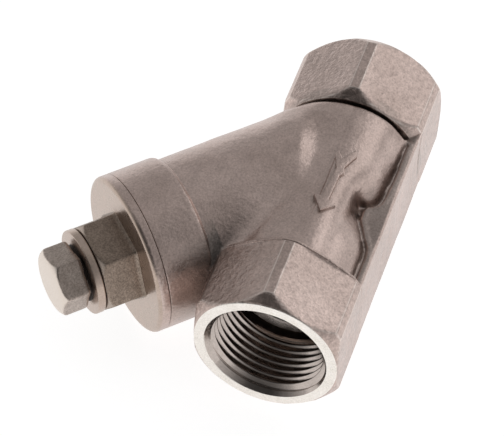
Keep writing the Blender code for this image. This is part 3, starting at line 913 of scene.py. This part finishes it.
def plug_piece():
    """Drain plug: threaded shank, round collar, undercut and hexagon head."""
    angles = even_angles(SMALL_SIDES)
    root_r = DRAIN_THREAD[2]
    rows = offset_rows(PLUG_START, root_r, [(0.0, -0.9), (0.15, -0.6)])
    rows += thread_rows(angles, male(DRAIN_THREAD), PLUG_START + 0.4, CAP_END - 0.9, fade=1.2)
    rows += [(CAP_END - 0.8, root_r - 0.3), (PLUG_COLLAR_START, root_r - 0.3)]
    rows += offset_rows(PLUG_COLLAR_START, PLUG_COLLAR_R, [(0.0, -0.3), (0.08, -0.08), (0.25, 0.0)])
    rows += offset_rows(PLUG_COLLAR_END, PLUG_COLLAR_R, [(-0.35, 0.0), (-0.1, -0.1), (0.0, -0.35)])
    rows += offset_rows(PLUG_COLLAR_END, PLUG_GROOVE_R, [(0.0, 0.15), (0.15, 0.0), (PLUG_GROOVE + 0.6, 0.0)])
    plug = swept("plug", rows, angles, BRANCH_AXIS)
    plug.data.materials.append(TURNED)

    def in_undercut(place, normal):
        along, away = from_branch(place)
        return along > PLUG_COLLAR_END + 0.01 and away < PLUG_GROOVE_R + 0.2

    # the undercut takes the dark inside finish as painted shade
    give_finish(plug, INSIDE_SCALE_AND_SHADE, in_undercut)
    top = turned_top(PLUG_HEX_FLATS, PLUG_TOP)
    base = PLUG_COLLAR_END + PLUG_GROOVE + 0.1
    head = small_hexagon(PLUG_HEX_TURN, PLUG_HEX_FLATS, base, PLUG_END, PLUG_HEX_SINK, PLUG_HEX_FLARE, top)
    boolean(plug, head, "UNION", PLUG_BAR)
    paint_dome(plug, PLUG_HEX_TURN, PLUG_HEX_FLATS, PLUG_END, top)
    return plug


def washer(node, round_r):
    """Flat ring with rounded edges in the place of a CAD ring about the branch axis."""
    start, end = station(node, BRANCH_AXIS, 0), station(node, BRANCH_AXIS, 1)
    inner_r, outer_r = radii(node)
    corners = [(start, inner_r, 1, 1, 180.0), (start, outer_r, 1, -1, 90.0)]
    corners += [(end, outer_r, -1, -1, 0.0), (end, inner_r, -1, 1, 270.0)]
    rows = []
    for place, radius, side_z, side_r, first in corners:
        for step in range(4):
            angle = math.radians(first + 90.0 - 30.0 * step)
            height = place + side_z * round_r + round_r * math.cos(angle)
            rows.append((height, radius + side_r * round_r + round_r * math.sin(angle)))
    return swept("washer", rows, even_angles(SMALL_SIDES), BRANCH_AXIS, closed=True)


# ------------------------------------------------------------ screen
def rolled(points_uv, radius):
    """Sheet points (round the axis, along it) put on a cylinder about the branch axis."""
    angle = points_uv[:, 0] / SCREEN_R
    return np.column_stack([radius * np.cos(angle), radius * np.sin(angle), points_uv[:, 1]])


def perforated_sheet(low, high):
    """Flat sheet with staggered round holes between two heights: points, faces and the holes' edges."""
    pitch = 2.0 * math.pi * SCREEN_R / HOLES_AROUND
    cell_height = pitch * math.sqrt(3.0) / 2.0
    rows = int((high - low) / cell_height)
    rise = (high - low) / rows
    stretch = rise / cell_height
    turns = [math.radians(30.0 * step) for step in range(12)]
    cell_radii = [pitch / 2.0, pitch / math.sqrt(3.0)]
    index = {}
    sheet, faces, holes = [], [], []

    def shared(u, v):
        key = (round(u / pitch * 12.0) % (12 * HOLES_AROUND), round(v * 200.0))
        if key not in index:
            index[key] = len(sheet)
            sheet.append((u, v))
        return index[key]

    for row in range(rows):
        centre_v = low + (row + 0.5) * rise
        for column in range(HOLES_AROUND):
            centre_u = (column + 0.5 * (row % 2)) * pitch
            outer, hole = [], []
            for step, turn in enumerate(turns):
                cell_r = cell_radii[step % 2]
                v = centre_v + cell_r * math.sin(turn) * stretch
                if row == 0 and turn > math.radians(200.0):
                    v = low
                if row == rows - 1 and math.radians(20.0) < turn < math.radians(160.0):
                    v = high
                outer.append(shared(centre_u + cell_r * math.cos(turn), v))
                hole.append(len(sheet))
                sheet.append((centre_u + HOLE_R * math.cos(turn), centre_v + HOLE_R * math.sin(turn)))
            holes.append(hole)
            for step in range(12):
                after = (step + 1) % 12
                faces.append((outer[step], outer[after], hole[after], hole[step]))
    return np.array(sheet), [face for face in faces if len(set(face)) == 4], holes


def bridge(builder, first, second):
    """Faces between two closed rings of the same number of vertices."""
    for step in range(len(first)):
        after = (step + 1) % len(first)
        builder.faces.new((first[step], first[after], second[after], second[step]))


def sleeve_piece():
    """The sheet rolled to the sleeve's two radii and joined at its holes and ends."""
    low, high = SCREEN_START + SLEEVE_MARGIN, SCREEN_END - SLEEVE_MARGIN
    sheet, faces, holes = perforated_sheet(low, high)
    count = len(sheet)
    points = np.concatenate([rolled(sheet, SCREEN_R), rolled(sheet, SCREEN_R - SLEEVE_WALL)])
    builder = bmesh.new()
    verts = [builder.verts.new(point * MM) for point in points]
    for face in faces:
        builder.faces.new([verts[value] for value in face])
    for face in faces:
        builder.faces.new([verts[value + count] for value in reversed(face)])
    for hole in holes:
        bridge(builder, [verts[value] for value in hole], [verts[value + count] for value in hole])
    # plain bands from the last holes to the sheet's ends
    for level, end in ((low, SCREEN_START), (high, SCREEN_END)):
        ends = []
        for side in (verts[:count], verts[count:]):
            rim = [vert for vert, place in zip(side, sheet) if abs(place[1] - level) < 1e-6]
            rim = [vert for vert in rim if any(edge.is_boundary for edge in vert.link_edges)]
            rim.sort(key=lambda vert: math.atan2(vert.co.y, vert.co.x))
            ends.append([builder.verts.new((vert.co.x, vert.co.y, end * MM)) for vert in rim])
            bridge(builder, rim, ends[-1])
        bridge(builder, *ends)
    bmesh.ops.recalc_face_normals(builder, faces=builder.faces)
    mesh = bpy.data.meshes.new("sleeve")
    builder.to_mesh(mesh)
    builder.free()
    mesh.transform(axis_frame(BRANCH_AXIS))
    sleeve = bpy.data.objects.new("sleeve", mesh)
    bpy.context.scene.collection.objects.link(sleeve)
    return sleeve


def add_wire(points, faces, path, outward, closed):
    """Adds a round wire along a path; outward gives the way out of the weave at each of its points."""
    first = len(points)
    total = len(path)
    for step in range(total):
        ahead = path[(step + 1) % total] if closed or step + 1 < total else path[step]
        behind = path[step - 1] if closed or step > 0 else path[step]
        along = ahead - behind
        along = along / np.linalg.norm(along)
        out = outward[step] - along * (outward[step] @ along)
        out = out / np.linalg.norm(out)
        side = np.cross(along, out)
        for angle in even_angles(WIRE_SIDES):
            points.append(path[step] + WIRE_R * (math.cos(angle) * out + math.sin(angle) * side))
    for step in range(total if closed else total - 1):
        low = first + step * WIRE_SIDES
        high = first + ((step + 1) % total) * WIRE_SIDES
        for turn in range(WIRE_SIDES):
            after = (turn + 1) % WIRE_SIDES
            faces.append((low + turn, low + after, high + after, high + turn))
    if not closed:
        for end in (first, first + (total - 1) * WIRE_SIDES):
            faces.append(tuple(range(end, end + WIRE_SIDES)))


def woven_liner():
    """Plain weave of round wires, rolled inside the sleeve."""
    start, end = SCREEN_START + WIRE_MARGIN, SCREEN_END - WIRE_MARGIN
    points, faces = [], []

    def weave_point(angle, height, sway):
        out = np.array([math.cos(angle), math.sin(angle), 0.0])
        return out * (LINER_R + sway) + np.array([0.0, 0.0, height]), out

    def sway_at(step, wire):
        return WIRE_R * math.cos(math.pi * (step / 2.0 + wire)) if step % 2 == 0 else 0.0

    for wire in range(WIRES_AROUND):
        angle = 2.0 * math.pi * wire / WIRES_AROUND
        steps = range(WIRES_ALONG * 2 + 1)
        heights = [start + (end - start) * step / (WIRES_ALONG * 2) for step in steps]
        row = [weave_point(angle, height, sway_at(step, wire)) for step, height in zip(steps, heights)]
        add_wire(points, faces, *zip(*row), False)
    for wire in range(WIRES_ALONG + 1):
        height = start + (end - start) * wire / WIRES_ALONG
        steps = range(WIRES_AROUND * 2)
        row = [weave_point(math.pi * step / WIRES_AROUND, height, -sway_at(step, wire)) for step in steps]
        add_wire(points, faces, *zip(*row), True)
    return face_outward(mesh_object("liner", points, faces, BRANCH_AXIS))


# ------------------------------------------------------------ materials
def node_material(name, metallic=1.0):
    """New material, its node tree and the object's own coordinates."""
    material = bpy.data.materials.new(name)
    material.use_nodes = True
    tree = material.node_tree
    tree.nodes["Principled BSDF"].inputs["Metallic"].default_value = metallic
    return material, tree, tree.nodes.new("ShaderNodeTexCoord").outputs["Object"]


def surfaced(material, colour, rough, normal):
    """Links the colour, roughness and normal of a material, and hands it back."""
    tree = material.node_tree
    for socket, value in (("Base Color", colour), ("Roughness", rough), ("Normal", normal)):
        tree.links.new(value, tree.nodes["Principled BSDF"].inputs[socket])
    return material


def noise(tree, place, scale, detail=4.0, roughness=0.55):
    node = tree.nodes.new("ShaderNodeTexNoise")
    node.inputs["Scale"].default_value = scale
    node.inputs["Detail"].default_value = detail
    node.inputs["Roughness"].default_value = roughness
    tree.links.new(place, node.inputs["Vector"])
    return node.outputs["Fac"]


def ramp(tree, value, stops):
    """Colour ramp from (position, grey or colour) stops."""
    node = tree.nodes.new("ShaderNodeValToRGB")
    elements = node.color_ramp.elements
    while len(elements) < len(stops):
        elements.new(0.5)
    for element, (position, colour) in zip(elements, stops):
        element.position = position
        element.color = (*colour, 1.0) if isinstance(colour, tuple) else (colour, colour, colour, 1.0)
    tree.links.new(value, node.inputs["Fac"])
    return node.outputs["Color"]


def mixed(tree, kind, factor, first, second):
    """Mix of two colours, each of them, like the factor, a value or another node's output."""
    node = tree.nodes.new("ShaderNodeMix")
    node.data_type = "RGBA"
    node.blend_type = kind
    for socket, value in ((node.inputs[0], factor), (node.inputs[6], first), (node.inputs[7], second)):
        if isinstance(value, bpy.types.NodeSocket):
            tree.links.new(value, socket)
        elif isinstance(value, tuple):
            socket.default_value = (*value, 1.0)
        else:
            socket.default_value = value
    return node.outputs[2]


def bump(tree, height, distance, strength, normal=None):
    """Bumped normal; the distance is in millimetres."""
    node = tree.nodes.new("ShaderNodeBump")
    node.inputs["Distance"].default_value = distance * MM
    node.inputs["Strength"].default_value = strength
    tree.links.new(height, node.inputs["Height"])
    if normal is not None:
        tree.links.new(normal, node.inputs["Normal"])
    return node.outputs["Normal"]


def painted(tree, name):
    """Value painted on the vertices under a name."""
    node = tree.nodes.new("ShaderNodeAttribute")
    node.attribute_name = name
    return node.outputs["Fac"]


def vector_math(tree, operation, output, vector, fixed=None):
    """Output of a vector node whose second vector, if it has one, is fixed."""
    node = tree.nodes.new("ShaderNodeVectorMath")
    node.operation = operation
    tree.links.new(vector, node.inputs[0])
    if fixed is not None:
        node.inputs[1].default_value = fixed
    return node.outputs[output]


def cast_material(name, mottle, crinkle):
    """Blasted investment casting: pinkish grey with a fine sparkling grain.

    The mottle is the share of the blotches in the colour, the crinkle their height in millimetres.
    """
    material, tree, place = node_material(name)
    broad = noise(tree, place, 70.0, 3.0)
    patch = noise(tree, place, 260.0, 5.0, 0.6)
    grain = noise(tree, place, 2200.0, 3.0, 0.7)
    crumple = noise(tree, place, 900.0, 2.0, 0.6)
    colour = ramp(tree, broad, [(0.30, CAST_DARK), (0.72, CAST_LIGHT)])
    flecks = ramp(tree, grain, [(0.30, 0.60), (0.5, 0.97), (0.72, 1.28)])
    colour = mixed(tree, "MULTIPLY", 0.6, colour, flecks)
    colour = mixed(tree, "MULTIPLY", 0.6, colour, ramp(tree, patch, [(0.3, 0.82), (0.7, 1.1)]))
    blotches = ramp(tree, crumple, [(0.34, 0.72), (0.5, 1.0), (0.68, 1.25)])
    colour = mixed(tree, "MULTIPLY", mottle, colour, blotches)
    # painted shade: darker where parts of the casting stand close, beside the collar and on the rib's tops
    shade = ramp(tree, painted(tree, "crevice_shade"), CREVICE_PAINTED_SHADE)
    colour = mixed(tree, "MULTIPLY", 1.0, colour, shade)
    # painted highlight along the end hexagons' edges, from the "edge" values
    edge_highlight = ramp(tree, painted(tree, "edge"), [(0.1, 0.0), (1.0, 0.75)])
    colour = mixed(tree, "MIX", edge_highlight, colour, EDGE_HIGHLIGHT)
    normal = bump(tree, patch, 0.16, 0.4)
    normal = bump(tree, crumple, crinkle, 0.8, normal)
    normal = bump(tree, grain, 0.05, 0.8, normal)
    return surfaced(material, colour, ramp(tree, patch, [(0.3, 0.27), (0.72, 0.40)]), normal)


def inside_scale_and_shade_material():
    """Unmachined inside of the casting: dark, dull scale, made darker still as painted shade; the plug's
    undercut takes it as painted shade too.
    """
    material, tree, place = node_material("cast_steel_inside_scale_and_shade")
    patch = noise(tree, place, 300.0, 5.0, 0.6)
    colour = ramp(tree, patch, [(0.3, (0.025, 0.02, 0.018)), (0.7, (0.06, 0.05, 0.045))])
    rough = ramp(tree, patch, [(0.3, 0.45), (0.7, 0.65)])
    return surfaced(material, colour, rough, bump(tree, patch, 0.08, 0.5))


def turned_material(name, axis, dark, light, rough_low, rough_high):
    """Lathe-turned steel: fine rings about an axis over a faint mottle."""
    material, tree, place = node_material(name)
    radial = vector_math(tree, "CROSS_PRODUCT", "Vector", place, axis)
    join = tree.nodes.new("ShaderNodeCombineXYZ")
    tree.links.new(vector_math(tree, "DOT_PRODUCT", "Value", place, axis), join.inputs["X"])
    tree.links.new(vector_math(tree, "LENGTH", "Value", radial), join.inputs["Y"])
    rings = noise(tree, join.outputs["Vector"], 5200.0, 2.0, 0.6)
    mottle = noise(tree, place, 420.0, 4.0)
    speck = noise(tree, place, 2600.0, 2.0)
    colour = ramp(tree, mottle, [(0.3, dark), (0.7, light)])
    colour = mixed(tree, "MULTIPLY", 0.35, colour, ramp(tree, speck, [(0.3, 0.7), (0.7, 1.2)]))
    normal = bump(tree, speck, 0.006, 0.4, bump(tree, rings, 0.012, 0.5))
    return surfaced(material, colour, ramp(tree, mottle, [(0.3, rough_low), (0.7, rough_high)]), normal)


def bar_material(name, dark, light, turned_end):
    """Drawn hexagon bar, dull and slightly pitted, with a brighter turned end."""
    material, tree, place = node_material(name)
    pits = noise(tree, place, 2600.0, 4.0, 0.65)
    patch = noise(tree, place, 420.0, 4.0)
    colour = ramp(tree, patch, [(0.3, dark), (0.7, light)])
    colour = mixed(tree, "MULTIPLY", 0.5, colour, ramp(tree, pits, [(0.36, 0.45), (0.62, 1.3)]))
    colour = mixed(tree, "MIX", painted(tree, "dome"), colour, turned_end)
    rough = ramp(tree, pits, [(0.3, 0.48), (0.7, 0.30)])
    return surfaced(material, colour, rough, bump(tree, pits, 0.07, 0.7))


def screen_material():
    """Mill-finish sheet and wire, faintly streaked."""
    material, tree, place = node_material("screen_steel_bright")
    mill = tree.nodes.new("ShaderNodeMapping")
    mill.inputs["Scale"].default_value = (1.0, 1.0, 0.12)
    tree.links.new(place, mill.inputs["Vector"])
    streak = noise(tree, mill.outputs["Vector"], 900.0, 3.0)
    colour = ramp(tree, streak, [(0.3, (0.29, 0.28, 0.27)), (0.7, (0.42, 0.40, 0.385))])
    rough = ramp(tree, streak, [(0.3, 0.26), (0.7, 0.42)])
    return surfaced(material, colour, rough, bump(tree, streak, 0.01, 0.4))


def ptfe_material():
    """White PTFE, matte."""
    material, tree, place = node_material("ptfe_white", 0.0)
    soft = noise(tree, place, 500.0, 3.0)
    colour = ramp(tree, soft, [(0.3, (0.80, 0.80, 0.77)), (0.7, (0.90, 0.90, 0.88))])
    rough = ramp(tree, soft, [(0.3, 0.45), (0.7, 0.6)])
    return surfaced(material, colour, rough, bump(tree, soft, 0.02, 0.3))


# ------------------------------------------------------------ studio
def lit_floor():
    """Pale floor just under the part, lit from within so that it shows as white."""
    mesh = bpy.data.meshes.new("studio_floor")
    half = FLOOR_HALF
    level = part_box("strainer_body")[0].z - FLOOR_GAP
    corners = [(-half, -half, level), (half, -half, level), (half, half, level), (-half, half, level)]
    mesh.from_pydata(corners, [], [(0, 1, 2, 3)])
    floor = bpy.data.objects.new("studio_floor", mesh)
    bpy.context.scene.collection.objects.link(floor)
    material, tree, place = node_material("studio_paper", 0.0)
    shader = tree.nodes["Principled BSDF"]
    paper = noise(tree, place, 900.0, 2.0)
    tree.links.new(ramp(tree, paper, [(0.0, 0.40), (1.0, 0.46)]), shader.inputs["Base Color"])
    shader.inputs["Roughness"].default_value = 0.9
    shader.inputs["Specular IOR Level"].default_value = 0.0
    shader.inputs["Emission Color"].default_value = (1.0, 1.0, 1.0, 1.0)
    shader.inputs["Emission Strength"].default_value = FLOOR_GLOW
    mesh.materials.append(material)


def room_light():
    """Grey room, brightest at the horizon, with one dark side that the metal reflects."""
    world = bpy.data.worlds.new("studio")
    bpy.context.scene.world = world
    world.use_nodes = True
    tree = world.node_tree
    direction = tree.nodes.new("ShaderNodeTexCoord").outputs["Generated"]
    split = tree.nodes.new("ShaderNodeSeparateXYZ")
    tree.links.new(direction, split.inputs["Vector"])
    sky = ramp(tree, split.outputs["Z"], WORLD_STOPS)
    toward = vector_math(tree, "DOT_PRODUCT", "Value", direction, DARK_SIDE)
    sky = mixed(tree, "MULTIPLY", 1.0, sky, ramp(tree, toward, DARK_SIDE_STOPS))
    background = tree.nodes["Background"]
    tree.links.new(sky, background.inputs["Color"])
    background.inputs["Strength"].default_value = WORLD_STRENGTH


def side_light():
    """Rectangular soft light beside the part."""
    light = bpy.data.lights.new("side_light", "AREA")
    light.shape = "RECTANGLE"
    light.size, light.size_y = SIDE_LIGHT_SIZE
    light.energy = SIDE_LIGHT_WATTS
    lamp = bpy.data.objects.new("side_light", light)
    lamp.location = SIDE_LIGHT_PLACE
    back = Vector(SIDE_LIGHT_PLACE) - Vector(SIDE_LIGHT_TARGET)
    lamp.rotation_euler = back.to_track_quat("Z", "Y").to_euler()
    bpy.context.scene.collection.objects.link(lamp)


def aimed_camera():
    """Camera that looks at the target from its azimuth and elevation."""
    scene = bpy.context.scene
    azimuth, elevation = math.radians(CAMERA_AZIMUTH), math.radians(CAMERA_ELEVATION)
    level = math.cos(elevation)
    back = Vector((level * math.cos(azimuth), level * math.sin(azimuth), math.sin(elevation)))
    turn = back.to_track_quat("Z", "Y").to_matrix() @ Matrix.Rotation(math.radians(CAMERA_ROLL), 3, "Z")
    data = bpy.data.cameras.new("camera")
    data.lens = CAMERA_LENS
    data.sensor_width = CAMERA_SENSOR
    data.clip_start, data.clip_end = CAMERA_CLIP
    camera = bpy.data.objects.new("camera", data)
    camera.matrix_world = Matrix.Translation(Vector(CAMERA_TARGET) + back * CAMERA_DISTANCE) @ turn.to_4x4()
    scene.collection.objects.link(camera)
    scene.camera = camera


# ------------------------------------------------------------ assembly
RUN, BRANCH = tuple(RUN_AXIS), tuple(BRANCH_AXIS)
CAST = cast_material("cast_steel_blasted", 0.12, 0.12)
CAST_HEX = cast_material("cast_steel_hexagons", 0.45, 0.22)
RING = turned_material("steel_faced", RUN, (0.80, 0.75, 0.69), (0.90, 0.85, 0.80), 0.22, 0.34)
MACHINED = turned_material("steel_turned_run", RUN, (0.47, 0.41, 0.375), (0.56, 0.49, 0.45), 0.13, 0.22)
TURNED = turned_material("steel_turned_cap", BRANCH, (0.44, 0.35, 0.29), (0.54, 0.43, 0.37), 0.24, 0.36)
# the cap's bar is darker bar stock, darkened further as painted shade
CAP_BAR_SHADED = bar_material("steel_bar_cap_shaded", (0.255, 0.20, 0.162), (0.32, 0.252, 0.206), (0.42, 0.35, 0.30))
PLUG_BAR = bar_material("steel_bar_plug", (0.38, 0.315, 0.275), (0.48, 0.405, 0.36), (0.74, 0.655, 0.585))
INSIDE_SCALE_AND_SHADE = inside_scale_and_shade_material()
SCREEN = screen_material()
PTFE = ptfe_material()


def finish_piece(piece, name, body, node, material=None):
    """Names a piece, smooths it, ties it to its body and hides the CAD node that it stands for."""
    piece.name = name
    piece.data.name = name
    if material is not None:
        piece.data.materials.clear()
        piece.data.materials.append(material)
    piece.data.shade_smooth()
    piece.data.set_sharp_from_angle(angle=SHARP_ANGLE)
    if name == "body_casting":
        smooth_cast_skin(piece.data)
    modifier = piece.modifiers.new("even_normals", "WEIGHTED_NORMAL")
    modifier.keep_sharp = True
    modifier.weight = FACE_WEIGHT
    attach(piece, body)
    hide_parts(node)


def finish_ring(node, round_r, name, body, material):
    finish_piece(washer(node, round_r), name, body, node, material)


finish_piece(body_casting(), "body_casting", "body", "strainer_body")
finish_piece(cap_piece(), "screw_cap", "cap", "screen_cap")
finish_piece(plug_piece(), "hex_plug", "plug", "drain_plug")
finish_ring("cap_gasket", 0.12, "cap_seal_ring", "cap_seal", PTFE)
finish_ring("plug_gasket", 0.1, "plug_seal_ring", "plug_seal", PTFE)
finish_piece(sleeve_piece(), "perforated_sleeve", "basket", "screen_sleeve", SCREEN)
finish_piece(woven_liner(), "woven_liner", "basket", "screen_mesh", SCREEN)
finish_ring("screen_seat_ring", 0.1, "seat_band", "basket", TURNED)
finish_ring("screen_end_ring", 0.1, "end_band", "basket", TURNED)

lit_floor()
room_light()
side_light()
aimed_camera()
bpy.context.scene.view_settings.view_transform = "Standard"
